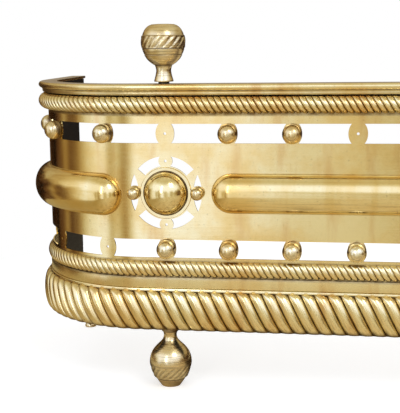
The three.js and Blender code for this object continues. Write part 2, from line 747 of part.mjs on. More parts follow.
function rearFootProfile() {
  const pad = REAR_FOOT_PAD_RADIUS;
  const stem = REAR_FOOT_STEM_RADIUS;
  const shank = FOOT_SHANK_DIAMETER / 2;
  const taper = pad - stem;
  return [
    [0, 0], [pad, 0], [pad, taper], [stem, 2 * taper],
    [stem, FOOT_HEIGHT - 2 * taper], [pad, FOOT_HEIGHT - taper], [pad, FOOT_HEIGHT],
    [shank, FOOT_HEIGHT], [shank, baseBarTop], [0, baseBarTop],
  ];
}

for (const [sideName, side] of sides) {
  const foot = addPiece(`rear_foot_${sideName}`, turned(rearFootProfile(), BALL_SEGMENTS), agedBrass);
  foot.position.copy(onPath(rearFootPlace(side), REAR_FOOT_OUT, 0));
}

export default fender;
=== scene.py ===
"""A polished brass fire fender: its looks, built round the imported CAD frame.

Metres, +Z up, the front faces -Y. A place on the plan is its distance along the outer face of the
wall from the middle of the front, positive to the right. A section is drawn as (out, z) points,
where out is the distance outward from the wall's outer face and z the height above the floor.
"""
import math

import bmesh
import bpy
from mathutils import Matrix, Vector


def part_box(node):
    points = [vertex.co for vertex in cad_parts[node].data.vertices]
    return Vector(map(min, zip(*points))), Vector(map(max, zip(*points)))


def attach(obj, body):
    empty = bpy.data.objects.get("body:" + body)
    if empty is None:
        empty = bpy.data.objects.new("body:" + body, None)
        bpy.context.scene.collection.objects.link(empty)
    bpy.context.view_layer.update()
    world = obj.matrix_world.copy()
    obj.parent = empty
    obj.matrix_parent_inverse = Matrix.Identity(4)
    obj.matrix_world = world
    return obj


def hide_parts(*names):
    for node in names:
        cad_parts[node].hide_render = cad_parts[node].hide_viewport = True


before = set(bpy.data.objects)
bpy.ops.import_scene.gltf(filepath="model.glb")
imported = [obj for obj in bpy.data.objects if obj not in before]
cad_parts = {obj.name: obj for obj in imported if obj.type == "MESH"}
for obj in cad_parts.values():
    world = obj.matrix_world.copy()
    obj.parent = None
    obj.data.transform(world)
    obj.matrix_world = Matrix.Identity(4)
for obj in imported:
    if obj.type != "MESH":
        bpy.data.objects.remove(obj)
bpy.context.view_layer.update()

MM = 0.001

# ---- Plan and heights, from the frame ----

CORNER_RADIUS = 107 * MM
SHEET = 1.2 * MM
SEAT = 0.1 * MM  # a piece lies this far off what it is fixed to
CLEARANCE = 0.3 * MM  # between the iron bars and the brass over them
SIDES = (("left", -1), ("right", 1))

boxes = {node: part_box(node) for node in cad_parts}
wall_low, wall_high = boxes["pierced_wall"]
front_half = wall_high[0] - CORNER_RADIUS
corner_length = CORNER_RADIUS * math.pi / 2
front_y = wall_low[1]
path_end = front_half + corner_length + (wall_high[1] - front_y - CORNER_RADIUS)


def heights(node):
    low, high = boxes[node]
    return low[2], high[2]


def middle_and_half(low, high):
    return (low + high) / 2, (high - low) / 2


def proud(node):
    return front_y - boxes[node][0][1]


def centre(node):
    low, high = boxes[node]
    return (Vector(low) + Vector(high)) / 2


def path_frame(place):
    """The point on the wall's outer face at a place, and the outward direction there."""
    side = 1 if place >= 0 else -1
    along = abs(place)
    turn = min(max((along - front_half) / CORNER_RADIUS, 0), math.pi / 2)
    outward = Vector((side * math.sin(turn), -math.cos(turn), 0))
    point = Vector((
        side * (min(along, front_half) + CORNER_RADIUS * math.sin(turn)),
        front_y + CORNER_RADIUS * (1 - math.cos(turn)) + max(0, along - front_half - corner_length),
        0,
    ))
    return point, outward


def spread(start, end, count):
    """count equal steps from start to end, both included."""
    return [start + (end - start) * step / count for step in range(count + 1)]


def on_path(place, out, z):
    point, outward = path_frame(place)
    point = point + outward * out
    point.z = z
    return point


def path_places(start, end, straight_step=20 * MM, corner_step=2.5 * MM):
    """Places from start to end, close together on the rounded corners."""
    marks = [start, end]
    for side in (-1, 1):
        marks += [side * front_half, side * (front_half + corner_length)]
    marks = sorted(mark for mark in marks if start <= mark <= end)
    places = [marks[0]]
    for a, b in zip(marks, marks[1:]):
        in_corner = front_half - MM < abs((a + b) / 2) < front_half + corner_length + MM
        steps = max(1, round((b - a) / (corner_step if in_corner else straight_step)))
        places += spread(a, b, steps)[1:]
    return places


# ---- Mesh helpers ----

def add_object(name, data):
    added = bpy.data.objects.new(name, data)
    bpy.context.scene.collection.objects.link(added)
    return added


def store(edit, mesh):
    """Writes an edit to a mesh, with its faces turned outward."""
    bmesh.ops.recalc_face_normals(edit, faces=edit.faces)
    edit.to_mesh(mesh)
    edit.free()


def paint(mesh, uvs, recess):
    """Gives each vertex its uv, (place, height) in metres, and its recess: 0 in the open and 1 in the
    deepest corners, which the materials darken with painted shade and tarnish."""
    layer = mesh.uv_layers.new(name="path")
    for loop in mesh.loops:
        layer.data[loop.index].uv = uvs[loop.vertex_index]
    mesh.attributes.new("recess", "FLOAT", "POINT").data.foreach_set("value", recess)


def make_piece(name, verts, faces, material, uvs, recess, sharp):
    """A smooth-shaded piece, with an edge where its faces meet at more than sharp degrees."""
    mesh = bpy.data.meshes.new(name)
    mesh.from_pydata([tuple(v) for v in verts], [], faces)
    paint(mesh, uvs, recess)
    mesh.validate()
    piece = add_object(name, mesh)
    edit = bmesh.new()
    edit.from_mesh(mesh)
    bmesh.ops.remove_doubles(edit, verts=edit.verts, dist=0.001 * MM)
    store(edit, mesh)
    mesh.shade_smooth()
    mesh.set_sharp_from_angle(angle=math.radians(sharp))
    mesh.materials.append(material)
    return piece


def finish_piece(piece, slot, *nodes):
    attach(piece, "root")
    if nodes:
        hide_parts(*nodes)
    return piece


def tube_faces(rings, count, capped=True):
    faces = []
    for ring in range(rings - 1):
        for corner in range(count):
            a = ring * count + corner
            b = ring * count + (corner + 1) % count
            faces.append((a, b, b + count, a + count))
    if capped:
        faces.append(tuple(range(count)))
        faces.append(tuple((rings - 1) * count + corner for corner in range(count)))
    return faces


def sweep(name, section, material, start=None, end=None, recess_at=None, sharp=40):
    """A section of (out, z) points carried along the path. recess_at(out, z) gives its recess."""
    start = -path_end if start is None else start
    end = path_end if end is None else end
    places = path_places(start, end)
    verts, uvs, recess = [], [], []
    for place in places:
        for out, z in section:
            verts.append(on_path(place, out, z))
            uvs.append((place, z + out))
            recess.append(recess_at(out, z) if recess_at else 0.0)
    faces = tube_faces(len(places), len(section))
    return make_piece(name, verts, faces, material, uvs, recess, sharp)


def arc(out_centre, z_centre, out_radius, z_radius, start, end, steps):
    """Points of an ellipse from one angle to another, in degrees, 0 outward and 90 up."""
    points = []
    for angle in map(math.radians, spread(start, end, steps)):
        points.append((out_centre + out_radius * math.cos(angle), z_centre + z_radius * math.sin(angle)))
    return points


def turned(name, profile, material, matrix, segments=40, ripple=None, recess_at=None, sharp=40):
    """A piece turned about its own +Z from (radius, height) points that start and end on the axis.
    ripple(height, angle) is added to the radius, and recess_at(radius, height, angle) gives recess."""
    verts, uvs, recess = [], [], []
    for radius, height in profile:
        for step in range(segments):
            angle = 2 * math.pi * step / segments
            size = radius + (ripple(height, angle) if ripple and radius > 0 else 0)
            verts.append(matrix @ Vector((size * math.cos(angle), size * math.sin(angle), height)))
            uvs.append((radius * angle, height))
            recess.append(recess_at(radius, height, angle) if recess_at else 0.0)
    faces = tube_faces(len(profile), segments, capped=False)
    return make_piece(name, verts, faces, material, uvs, recess, sharp)


def rounded(points, steps=6):
    """A smooth curve through (radius, height) points."""
    curve = []
    count = len(points)
    for index in range(count - 1):
        p0, p1, p2, p3 = (Vector(points[min(max(i, 0), count - 1)]) for i in range(index - 1, index + 3))
        for step in range(steps):
            t = step / steps
            point = 0.5 * (
                2 * p1 + (p2 - p0) * t + (2 * p0 - 5 * p1 + 4 * p2 - p3) * t ** 2
                + (3 * p1 - p0 - 3 * p2 + p3) * t ** 3
            )
            curve.append(tuple(point))
    return curve + [tuple(points[-1])]


def mm_points(points):
    return [(a * MM, b * MM) for a, b in points]


def outward_matrix(place, out, z):
    """A frame at a place whose +Z points outward and whose +Y points up."""
    outward = path_frame(place)[1]
    up = Vector((0, 0, 1))
    across = up.cross(outward)
    return Matrix.Translation(on_path(place, out, z)) @ Matrix((across, up, outward)).transposed().to_4x4()


def step_up(value, low, high):
    """0 below low, 1 above high and smooth between them."""
    t = min(max((value - low) / (high - low), 0), 1)
    return t * t * (3 - 2 * t)


# ---- Materials ----

class Nodes:
    """Small helper that adds and links shader nodes."""

    def __init__(self, tree):
        self.tree = tree

    def add(self, kind, inputs=None, **settings):
        node = self.tree.nodes.new(kind)
        for key, value in settings.items():
            setattr(node, key, value)
        for key, value in (inputs or {}).items():
            self.put(node.inputs[key], value)
        return node

    def put(self, socket, value):
        """Links a socket to another one, or sets it to a constant."""
        if isinstance(value, bpy.types.NodeSocket):
            self.tree.links.new(value, socket)
        elif socket.type == "RGBA" and len(value) == 3:
            socket.default_value = (*value, 1.0)
        else:
            socket.default_value = value

    def noise(self, vector, scale, detail=3.0, roughness=0.5):
        inputs = {"Vector": vector, "Scale": scale, "Detail": detail, "Roughness": roughness}
        return self.add("ShaderNodeTexNoise", inputs).outputs["Fac"]

    def remap(self, value, low, high, to_low=0.0, to_high=1.0):
        inputs = {"Value": value, "From Min": low, "From Max": high, "To Min": to_low, "To Max": to_high}
        return self.add("ShaderNodeMapRange", inputs, interpolation_type="SMOOTHSTEP").outputs["Result"]

    def mix(self, factor, a, b):
        """Mixes two colours: the colour sockets of this node are 6, 7 and output 2."""
        return self.add("ShaderNodeMix", {0: factor, 6: a, 7: b}, data_type="RGBA").outputs[2]

    def math(self, operation, a, b=0.0):
        return self.add("ShaderNodeMath", {0: a, 1: b}, operation=operation).outputs[0]

    def times(self, a, b):
        return self.math("MULTIPLY", a, b)

    def plus(self, a, b):
        return self.math("ADD", a, b)

    def scaled(self, vector, x, y):
        node = self.add("ShaderNodeMapping", {"Vector": vector, "Scale": (x, y, 1.0)})
        return node.outputs["Vector"]

    def coords(self, kind):
        return self.add("ShaderNodeTexCoord").outputs[kind]

    def axes(self, vector):
        return self.add("ShaderNodeSeparateXYZ", {"Vector": vector}).outputs

    def bump(self, shader, height, strength, distance):
        inputs = {"Strength": strength, "Distance": distance, "Height": height}
        self.put(shader.inputs["Normal"], self.add("ShaderNodeBump", inputs).outputs["Normal"])


def new_material(name):
    material = bpy.data.materials.new(name)
    material.use_nodes = True
    tree = material.node_tree
    return material, Nodes(tree), tree.nodes["Principled BSDF"]


PALE = (0.90, 0.76, 0.42)
GOLD = (0.85, 0.62, 0.25)
# Dark brown of tarnish spots and turning marks, and of the painted shade in the recesses
TARNISH_AND_SHADE = (0.11, 0.05, 0.012)


def shade_and_tarnish(nodes, place):
    """Painted shade with tarnish, patchy, by the recess of each point."""
    recess = nodes.add("ShaderNodeAttribute", attribute_name="recess").outputs["Fac"]
    return nodes.times(recess, nodes.remap(nodes.noise(place, 150.0, 3.0, 0.6), 0.25, 0.75, 0.55, 1.0))


def brass_height(nodes, place, along, speckle, waves, scratch):
    """Swells and dents of handwork, hairlines and pits."""
    swell = nodes.times(nodes.noise(place, 34.0, 2.0, 0.5), 0.55 * waves)
    dents = nodes.times(nodes.noise(place, 130.0, 2.0, 0.5), 0.09 * waves)
    hairlines = nodes.noise(nodes.scaled(along, 260.0, 3200.0), 1.0, 2.0, 0.7)
    marked = nodes.plus(nodes.plus(swell, dents), nodes.times(hairlines, 0.012 * scratch))
    return nodes.plus(marked, nodes.times(speckle, 0.02 * scratch))


def brass(name, bright=PALE, deep=GOLD, *, polish, worn, waves, scratch=1.0, top=None,
          orange=(0.72, 0.45, 0.17), turning=0.0):
    """Polished brass: cloudy tone, fine scratches, a wavy hand-worked face, and painted shade with tarnish
    in the recesses.
    top is the dull colour of its level upper face, which nobody polishes."""
    material, nodes, shader = new_material(name)
    place = nodes.coords("Object")
    along = nodes.coords("UV")

    clouds = nodes.noise(place, 17.0, 4.0, 0.62)
    smears = nodes.noise(nodes.scaled(along, 55.0, 9.0), 1.0, 3.0, 0.6)
    speckle = nodes.noise(place, 420.0, 3.0, 0.6)
    streaks = nodes.noise(nodes.scaled(along, 14.0, 900.0), 1.0, 3.0, 0.6)

    tone = nodes.mix(nodes.remap(clouds, 0.38, 0.66), bright, deep)
    tone = nodes.mix(nodes.times(nodes.remap(smears, 0.48, 0.74), 0.62), tone, orange)
    spots = nodes.times(nodes.remap(speckle, 0.60, 0.78), 0.35)
    tone = nodes.mix(spots, tone, TARNISH_AND_SHADE)
    if turning:
        rings = nodes.noise(nodes.scaled(along, 20.0, 1100.0), 1.0, 2.0, 0.7)
        tone = nodes.mix(nodes.times(nodes.remap(rings, 0.48, 0.72), turning), tone, TARNISH_AND_SHADE)
    # Painted shade, with tarnish, in the recesses
    shaded_and_tarnished = shade_and_tarnish(nodes, place)
    tone = nodes.mix(shaded_and_tarnished, tone, TARNISH_AND_SHADE)
    if top:
        facing = nodes.axes(nodes.add("ShaderNodeNewGeometry").outputs["Normal"])["Z"]
        level = nodes.remap(facing, 0.86, 0.98)
        tone = nodes.mix(level, tone, nodes.mix(clouds, top, tuple(0.8 * part for part in top)))
    nodes.put(shader.inputs["Base Color"], tone)

    rough = nodes.remap(streaks, 0.3, 0.75, polish, (polish + worn) / 2)
    rough = nodes.plus(rough, nodes.remap(clouds, 0.5, 0.8, 0.0, (worn - polish) / 2))
    rough = nodes.plus(rough, nodes.times(shaded_and_tarnished, 0.25))
    if top:
        rough = nodes.plus(rough, nodes.times(level, 0.16))
    nodes.put(shader.inputs["Metallic"], nodes.remap(level, 0.0, 1.0, 1.0, 0.55) if top else 1.0)
    nodes.put(shader.inputs["Roughness"], rough)

    nodes.bump(shader, brass_height(nodes, place, along, speckle, waves, scratch), 1.0, 0.5 * MM)
    return material


def iron(name, tone, rust, rough=0.5):
    material, nodes, shader = new_material(name)
    place = nodes.coords("Object")
    blotches = nodes.noise(place, 60.0, 5.0, 0.65)
    grain = nodes.noise(place, 700.0, 3.0, 0.6)
    colour = nodes.mix(nodes.remap(blotches, 0.5, 0.8), tone, rust)
    nodes.put(shader.inputs["Base Color"], colour)
    nodes.put(shader.inputs["Roughness"], nodes.remap(grain, 0.2, 0.8, rough - 0.1, rough + 0.2))
    nodes.put(shader.inputs["Metallic"], 0.2)
    nodes.put(shader.inputs["Specular IOR Level"], 0.25)
    nodes.bump(shader, nodes.plus(grain, nodes.times(blotches, 2.0)), 0.5, 0.3 * MM)
    return material


sheet_brass = brass("sheet_brass", polish=0.12, worn=0.26, waves=0.25)
pressed_brass = brass("pressed_brass", polish=0.13, worn=0.27, waves=0.45, orange=(0.78, 0.56, 0.20))
moulding_brass = brass("moulding_brass", (0.93, 0.81, 0.48), (0.87, 0.66, 0.31), polish=0.18,
                       worn=0.32, waves=0.5, scratch=1.6)
rail_brass = brass("rail_brass", polish=0.22, worn=0.38, waves=0.3, top=(0.50, 0.41, 0.32))
turned_brass = brass("turned_brass", (0.90, 0.80, 0.55), (0.80, 0.61, 0.31), polish=0.21,
                     worn=0.36, waves=0.5, scratch=2.4, turning=0.6)
black_iron = iron("black_iron", (0.012, 0.011, 0.012), (0.035, 0.024, 0.017))
nut_steel = iron("nut_steel", (0.30, 0.29, 0.28), (0.16, 0.12, 0.09), 0.4)


# ---- Pierced sheet wall ----

BALL_PITCH = 55 * MM
CORNER_COLUMN_SHIFT = 9 * MM  # past the middle of the corner
LOWER_SLOT_HEIGHT = 16.2 * MM
UPPER_SLOT_HEIGHT = 16.7 * MM
SLOT_END_MARGIN = 24 * MM
DISC_HALF_WIDTH = 8.2 * MM
DISC_HALF_HEIGHT = 11 * MM  # taller than its slot, so it runs into the sheet at both edges
SHANK_HOLE_RADIUS = 1.2 * MM
PANEL_MIDDLE = centre("rosette_dome_left").z
SEEN_LOW = heights("lower_rope_moulding")[1]  # the sheet is seen from here
SEEN_HIGH = heights("upper_rope_moulding")[0]  # to here


def slot_levels(ball_node, height):
    middle = centre(ball_node).z
    return middle - height / 2, middle + height / 2


LOWER_SLOT = slot_levels("lower_ball_centre", LOWER_SLOT_HEIGHT)
UPPER_SLOT = slot_levels("upper_ball_centre", UPPER_SLOT_HEIGHT)
SLOT_ROWS = (("lower", LOWER_SLOT), ("upper", UPPER_SLOT))

ROSETTE_SLOT_RADII = (23.7 * MM, 32.2 * MM)
ROSETTE_SLOT_START = math.radians(40)
ROSETTE_RING = 28 * MM
ROSETTE_DISC_RADIUS = 6.2 * MM
SPEAR_HEIGHT = 32.6 * MM
SPEAR_WIDTH = 7.6 * MM

rosette_places = [centre(f"finial_{side}").x for side in ("left", "right")]
columns = round(rosette_places[1] / BALL_PITCH) + 1

stations = [("centre", 0.0)]
for side_name, side in SIDES:
    stations += [(f"{side_name}_{column}", side * column * BALL_PITCH) for column in range(1, columns + 1)]
    corner_column = front_half + corner_length / 2 + CORNER_COLUMN_SHIFT
    stations.append((f"{side_name}_corner", side * corner_column))
    stations.append((f"{side_name}_return", side * (front_half + corner_length)))
stations.sort(key=lambda station: station[1])
seats = [(f"{row}_ball_{label}", place, (low + high) / 2)
         for row, (low, high) in SLOT_ROWS for label, place in stations]


def circle_points(middle, radius, start, end, steps=12, stretch=1.0):
    """Points of an arc, from one angle to another, made stretch times as high as wide."""
    points = []
    for angle in spread(start, end, steps):
        across, up = radius * math.cos(angle), radius * stretch * math.sin(angle)
        points.append((middle[0] + across, middle[1] + up))
    return points


def shank_hole(place, z):
    return circle_points((place, z), SHANK_HOLE_RADIUS, 0, 2 * math.pi, 14)[:-1]


def slot_openings(low, high):
    """Outlines of the openings of a slot, between the discs that stand in it."""
    middle, half = middle_and_half(low, high)
    lean = math.asin(half / DISC_HALF_HEIGHT)
    stretch = DISC_HALF_HEIGHT / DISC_HALF_WIDTH

    def edge(place, facing):
        return circle_points((place, middle), DISC_HALF_WIDTH, facing + lean, facing - lean, 16, stretch)

    places = [place for _, place in stations]
    slot_end = path_end - SLOT_END_MARGIN
    openings = [[(-slot_end, high), (-slot_end, low)] + edge(places[0], math.pi)]
    for place, following in zip(places, places[1:]):
        openings.append(edge(place, 0) + edge(following, math.pi))
    openings.append(edge(places[-1], 0) + [(slot_end, low), (slot_end, high)])
    return openings


def ring_window(place):
    """The upper right one of the four curved windows round a dome. The disc above bites into it."""
    inner, outer = ROSETTE_SLOT_RADII
    middle = (place, PANEL_MIDDLE)
    disc = (place, PANEL_MIDDLE + ROSETTE_RING)

    def meets_disc(radius):
        across = radius ** 2 + ROSETTE_RING ** 2 - ROSETTE_DISC_RADIUS ** 2
        return math.pi / 2 - math.acos(across / (2 * radius * ROSETTE_RING))

    outer_arc = circle_points(middle, outer, ROSETTE_SLOT_START, meets_disc(outer))
    inner_arc = circle_points(middle, inner, meets_disc(inner), ROSETTE_SLOT_START)
    first = Vector(outer_arc[-1]) - Vector(disc)
    last = Vector(inner_arc[0]) - Vector(disc)
    turn = (math.atan2(first.y, first.x), math.atan2(last.y, last.x))
    return outer_arc + circle_points(disc, ROSETTE_DISC_RADIUS, *turn, 6)[1:-1] + inner_arc


def spear_window(place, across, up):
    """A pointed window above or below the disc of a rosette ball."""
    edge = []
    for t in spread(0.5, 1.0, 14):
        x, z = SPEAR_WIDTH * 2 * t * (1 - t), SPEAR_HEIGHT * (t - 0.5)
        if math.hypot(x, z) > ROSETTE_DISC_RADIUS:
            edge.append((x, z))
    start = math.atan2(edge[0][1], edge[0][0])
    outline = edge + [(-x, z) for x, z in reversed(edge[:-1])]
    outline += circle_points((0, 0), ROSETTE_DISC_RADIUS, math.pi - start, start, 6)
    seat = place + across * ROSETTE_RING
    return [(seat + x, PANEL_MIDDLE + up * z) for x, z in outline]


def rosette_openings(place):
    openings = []
    for up in (1, -1):
        for across in (1, -1):
            openings.append([(place + across * (x - place), PANEL_MIDDLE + up * (z - PANEL_MIDDLE))
                             for x, z in ring_window(place)])
        openings.append(shank_hole(place, PANEL_MIDDLE + up * ROSETTE_RING))
    for across in (1, -1):
        for up in (1, -1):
            openings.append(spear_window(place, across, up))
    return openings


def wall_openings():
    openings = slot_openings(*LOWER_SLOT) + slot_openings(*UPPER_SLOT)
    for place in rosette_places:
        openings += rosette_openings(place)
    return openings + [shank_hole(place, z) for node, place, z in seats if node not in boxes]


def prisms(outlines, depth):
    """Closed blocks over outlines drawn as (place, z), in the flat space (place, out, z)."""
    solid = bmesh.new()
    for outline in outlines:
        front = [solid.verts.new((place, depth, z)) for place, z in outline]
        back = [solid.verts.new((place, -depth, z)) for place, z in outline]
        solid.faces.new(front)
        solid.faces.new(back)
        for index in range(len(outline)):
            after = (index + 1) % len(outline)
            solid.faces.new((front[index], front[after], back[after], back[index]))
    mesh = bpy.data.meshes.new("cutter")
    store(solid, mesh)
    return add_object("cutter", mesh)


def flat_sheet(low, high):
    """The wall before it is pierced and bent, with rows of points where its painted shade changes."""
    places = path_places(-path_end, path_end, 10 * MM, 2.5 * MM)
    rows = [low, SEEN_LOW, SEEN_LOW + 0.7 * MM, SEEN_LOW + 1.5 * MM, LOWER_SLOT[1] + MM, PANEL_MIDDLE]
    rows += [UPPER_SLOT[0] - MM, UPPER_SLOT[1] + MM]
    rows += [SEEN_HIGH - 2.6 * MM, SEEN_HIGH - 1.2 * MM, SEEN_HIGH, high]
    verts = [(place, out, z) for out in (0, -SHEET) for place in places for z in rows]
    count, layer = len(rows), len(places) * len(rows)
    faces = []
    for i in range(len(places) - 1):
        for j in range(count - 1):
            quad = (i * count + j, (i + 1) * count + j, (i + 1) * count + j + 1, i * count + j + 1)
            faces.append(quad)
            faces.append(tuple(layer + v for v in reversed(quad)))
    rim = [i * count for i in range(len(places))]
    rim += [(len(places) - 1) * count + j for j in range(1, count)]
    rim += [i * count + count - 1 for i in range(len(places) - 2, -1, -1)]
    rim += [j for j in range(count - 2, 0, -1)]
    for a, b in zip(rim, rim[1:] + rim[:1]):
        faces.append((a, a + layer, b + layer, b))
    mesh = bpy.data.meshes.new("sheet")
    mesh.from_pydata(verts, [], faces)
    solid = bmesh.new()
    solid.from_mesh(mesh)
    store(solid, mesh)
    return add_object("sheet", mesh)


def wall_recess(z):
    """Painted shade on the wall just under the upper rope and just over the lower rope."""
    under_rope = step_up(z, SEEN_HIGH - 2.8 * MM, SEEN_HIGH - 0.6 * MM)
    over_rope = 1 - step_up(z, SEEN_LOW, SEEN_LOW + 1.4 * MM)
    return max(0.95 * under_rope, 0.7 * over_rope)


def pierce(sheet, cutter):
    """Cuts the cutter out of the sheet, removes both and returns what is left as a mesh."""
    modifier = sheet.modifiers.new("piercing", "BOOLEAN")
    modifier.operation = "DIFFERENCE"
    modifier.solver = "EXACT"
    modifier.object = cutter
    graph = bpy.context.evaluated_depsgraph_get()
    pierced = bpy.data.meshes.new_from_object(sheet.evaluated_get(graph), depsgraph=graph)
    bpy.data.objects.remove(sheet)
    bpy.data.objects.remove(cutter)
    return pierced


def bend(mesh):
    """Bends a mesh from the flat space to the path, with exact normals, so that the reflections run
    clean round the corners."""
    flat = [tuple(vertex.co) for vertex in mesh.vertices]
    flat_normals = [tuple(face.normal) for face in mesh.polygons]
    mesh.flip_normals()  # bending mirrors the flat space
    paint(mesh, [(place, z) for place, _, z in flat], [wall_recess(z) for _, _, z in flat])
    for vertex, (place, out, z) in zip(mesh.vertices, flat):
        vertex.co = on_path(place, out, z)
    normals = [Vector((0, 0, 1))] * len(mesh.loops)
    for face, (along, out, up) in zip(mesh.polygons, flat_normals):
        for index in face.loop_indices:
            outward = path_frame(flat[mesh.loops[index].vertex_index][0])[1]
            across = Vector((0, 0, 1)).cross(outward)
            normals[index] = (across * along + outward * out + Vector((0, 0, up))).normalized()
    mesh.shade_smooth()
    mesh.normals_split_custom_set(normals)


def make_wall():
    mesh = pierce(flat_sheet(*heights("pierced_wall")), prisms(wall_openings(), 6 * SHEET))
    bend(mesh)
    mesh.materials.clear()
    mesh.materials.append(sheet_brass)
    return finish_piece(add_object("wall_sheet", mesh), "sheet_brass", "pierced_wall")


make_wall()


# ---- Mouldings with strands ----

ROPES = (  # groove depth, and how far a strand leans by its height and by its roundness
    ("upper_rope_moulding", 2.0 * MM, 7 * MM, 3 * MM),
    ("lower_rope_moulding", 1.4 * MM, 6 * MM, 2.5 * MM),
)
ROPE_PITCH = 5.56 * MM
ROPE_BACK_MARGIN = 2.5 * MM
GADROON_PITCH = 11.366 * MM
GADROON_LIP = 2.4 * MM
GADROON_TOE = 1.8 * MM  # how far out its back stands beside the base bar
GADROON_FOOTING = 3 * MM  # how far out its top and bottom stand
GADROON_DEPTH = 4.2 * MM
# Painted shade on the plain back of a moulding, against the wall
BACK_SHADE = 0.3
PLAIN = -1.0  # cancels the painted shade of the grooves on a plain stretch


def make_strands(name, node, pitch, steps, section, straight_lean, twist, back, groove, roundness):
    """A moulding whose front carries leaning strands. section(lobe) gives its front as (angle, out,
    z, recess) rows from the bottom up. lobe is 0 in a groove and 1 on a ridge, and a low roundness
    gives fat strands. back is its plain back, as (out, z) points from the top down."""
    z_middle, half = middle_and_half(*heights(node))
    strands = round(2 * path_end / pitch)
    spacing = 2 * path_end / strands / steps
    overrun = math.ceil((straight_lean + twist) / spacing) + steps
    rings = range(-strands * steps // 2 - overrun, strands * steps // 2 + overrun + 1)
    verts, uvs, recess = [], [], []
    for ring in rings:
        across = (ring % steps) / steps
        lobe = max(0.0, 1 - abs(2 * across - 1) ** 2) ** roundness
        for angle, out, z, hollow in section(lobe):
            lean = -straight_lean / 2 * (z - z_middle) / half - twist * angle / math.pi
            place = ring * spacing + lean
            verts.append(on_path(place, out, z))
            uvs.append((place, z + out))
            # painted shade in the grooves between strands, added to that of the section
            recess.append(min(max(hollow + (1 - lobe) ** groove, 0.0), 1.0))
        for out, z in back:
            verts.append(on_path(ring * spacing, out, z))
            uvs.append((ring * spacing, z + out))
            recess.append(BACK_SHADE)
    faces = tube_faces(len(rings), len(verts) // len(rings), capped=False)
    piece = make_piece(name, verts, faces, moulding_brass, uvs, recess, sharp=70)
    cut_at_ends(piece.data)
    return finish_piece(piece, "moulding_brass", node)


def cut_at_ends(mesh):
    """Cuts a moulding square at the rear ends of the wall and closes it there."""
    edit = bmesh.new()
    edit.from_mesh(mesh)
    everything = edit.verts[:] + edit.edges[:] + edit.faces[:]
    bmesh.ops.bisect_plane(edit, geom=everything, dist=1e-7, plane_co=(0, wall_high[1], 0),
                           plane_no=(0, 1, 0), clear_outer=True)
    rim = [edge for edge in edit.edges if edge.is_boundary]
    bmesh.ops.holes_fill(edit, edges=rim, sides=0)
    store(edit, mesh)


def rope_section(node, depth):
    """Half a round, with painted shade on its underside."""
    middle, half = middle_and_half(*heights(node))
    reach = proud(node)

    def section(lobe):
        size = 1 - depth * (1 - lobe) / reach
        points = []
        for angle in spread(-math.pi / 2, math.pi / 2, 12):
            rise = size if angle < 0 else 1
            out = SEAT + (reach - SEAT) * size * math.cos(angle)
            # painted shade on the underside of the rope, darkest at the bottom
            painted_shade = 0.95 * max(0, -math.sin(angle)) ** 5
            points.append((angle, out, middle + half * rise * math.sin(angle), painted_shade))
        return points

    return section


for node, depth, straight, twist in ROPES:
    z_low, z_high = heights(node)
    back = [(SEAT, z_high - ROPE_BACK_MARGIN), (SEAT, z_low + ROPE_BACK_MARGIN)]
    make_strands(node.replace("_moulding", "_strands"), node, ROPE_PITCH, 8,
                 rope_section(node, depth), straight, twist, back, groove=2.2, roundness=0.5)


def gadroon_section(lobe):
    """Lobes between a turned-in lower edge and a thin plain lip under the fillet."""
    z_low, z_high = heights("gadroon_moulding")
    top = z_high - GADROON_LIP
    middle, half = middle_and_half(z_low, top)
    reach, footing = proud("gadroon_moulding"), GADROON_FOOTING
    points = []
    for angle in spread(-math.pi / 2, math.pi / 2, 20):
        fullness = math.cos(angle) ** 0.8
        ridge = footing + (reach - footing) * fullness
        floor_out = 2.1 * MM if angle < 0 else 0.9 * MM
        depth = min(GADROON_DEPTH, ridge - floor_out) * (1 - lobe)
        # painted shade on the turned-in lower edge, and in the pockets of the grooves under the lip
        hollow = step_up(-math.sin(angle), 0.76, 0.97)
        hollow = max(hollow, 0.8 * (1 - lobe) * step_up(math.sin(angle), 0.75, 0.97))
        points.append((angle, ridge - depth, middle + half * math.sin(angle), hollow))
    points.append((math.pi / 2, footing + 0.5 * MM, top + 0.2 * MM, PLAIN))
    points.append((math.pi / 2, footing + 0.5 * MM, z_high - 0.3 * MM, PLAIN))
    points.append((math.pi / 2, footing + 0.2 * MM, z_high, PLAIN))
    return points


gadroon_low, gadroon_high = heights("gadroon_moulding")
base_bar_top = heights("iron_base_frame")[1] + CLEARANCE
gadroon_back = [(SEAT, gadroon_high), (SEAT, base_bar_top), (GADROON_TOE, base_bar_top),
                (GADROON_TOE, gadroon_low)]
make_strands("gadroon_lobes", "gadroon_moulding", GADROON_PITCH, 12, gadroon_section, 14 * MM, 6 * MM,
             gadroon_back, groove=2.6, roundness=0.62)


# ---- Plain mouldings ----

FILLET_SHADE_WIDTH = 2.2 * MM  # where the painted shade under the lower rope ends
NOSE_HEIGHT = 5.7 * MM
RAIL_INWARD = 9 * MM
TOP_BAR_OUT = (-8 * MM, 2.9 * MM)
BASE_BAR_OUT = (-16 * MM, 1.5 * MM)
END_PLATE_OUT = (-4.5 * MM, -1.4 * MM)
END_PLATE_LENGTH = 68 * MM


def make_fillet():
    z_low, z_high = heights("base_fillet")
    reach = proud("base_fillet")
    edge = 0.5 * MM
    section = [(SEAT, z_low), (reach - edge, z_low)]
    section += arc(reach - edge, z_low + edge, edge, edge, -60, 0, 3)
    section += [(reach, z_high - FILLET_SHADE_WIDTH)]
    section += arc(reach - edge, z_high - edge, edge, edge, 0, 90, 4)
    section += [(SEAT, z_high)]

    def recess_at(out, z):
        # painted shade under the lower rope, and on the back of the band
        return 0.8 * (1 - step_up(z_high - z, 0, 1.6 * MM)) if out > MM else 1.0

    piece = sweep("base_fillet_band", section, moulding_brass, recess_at=recess_at)
    return finish_piece(piece, "moulding_brass", "base_fillet")


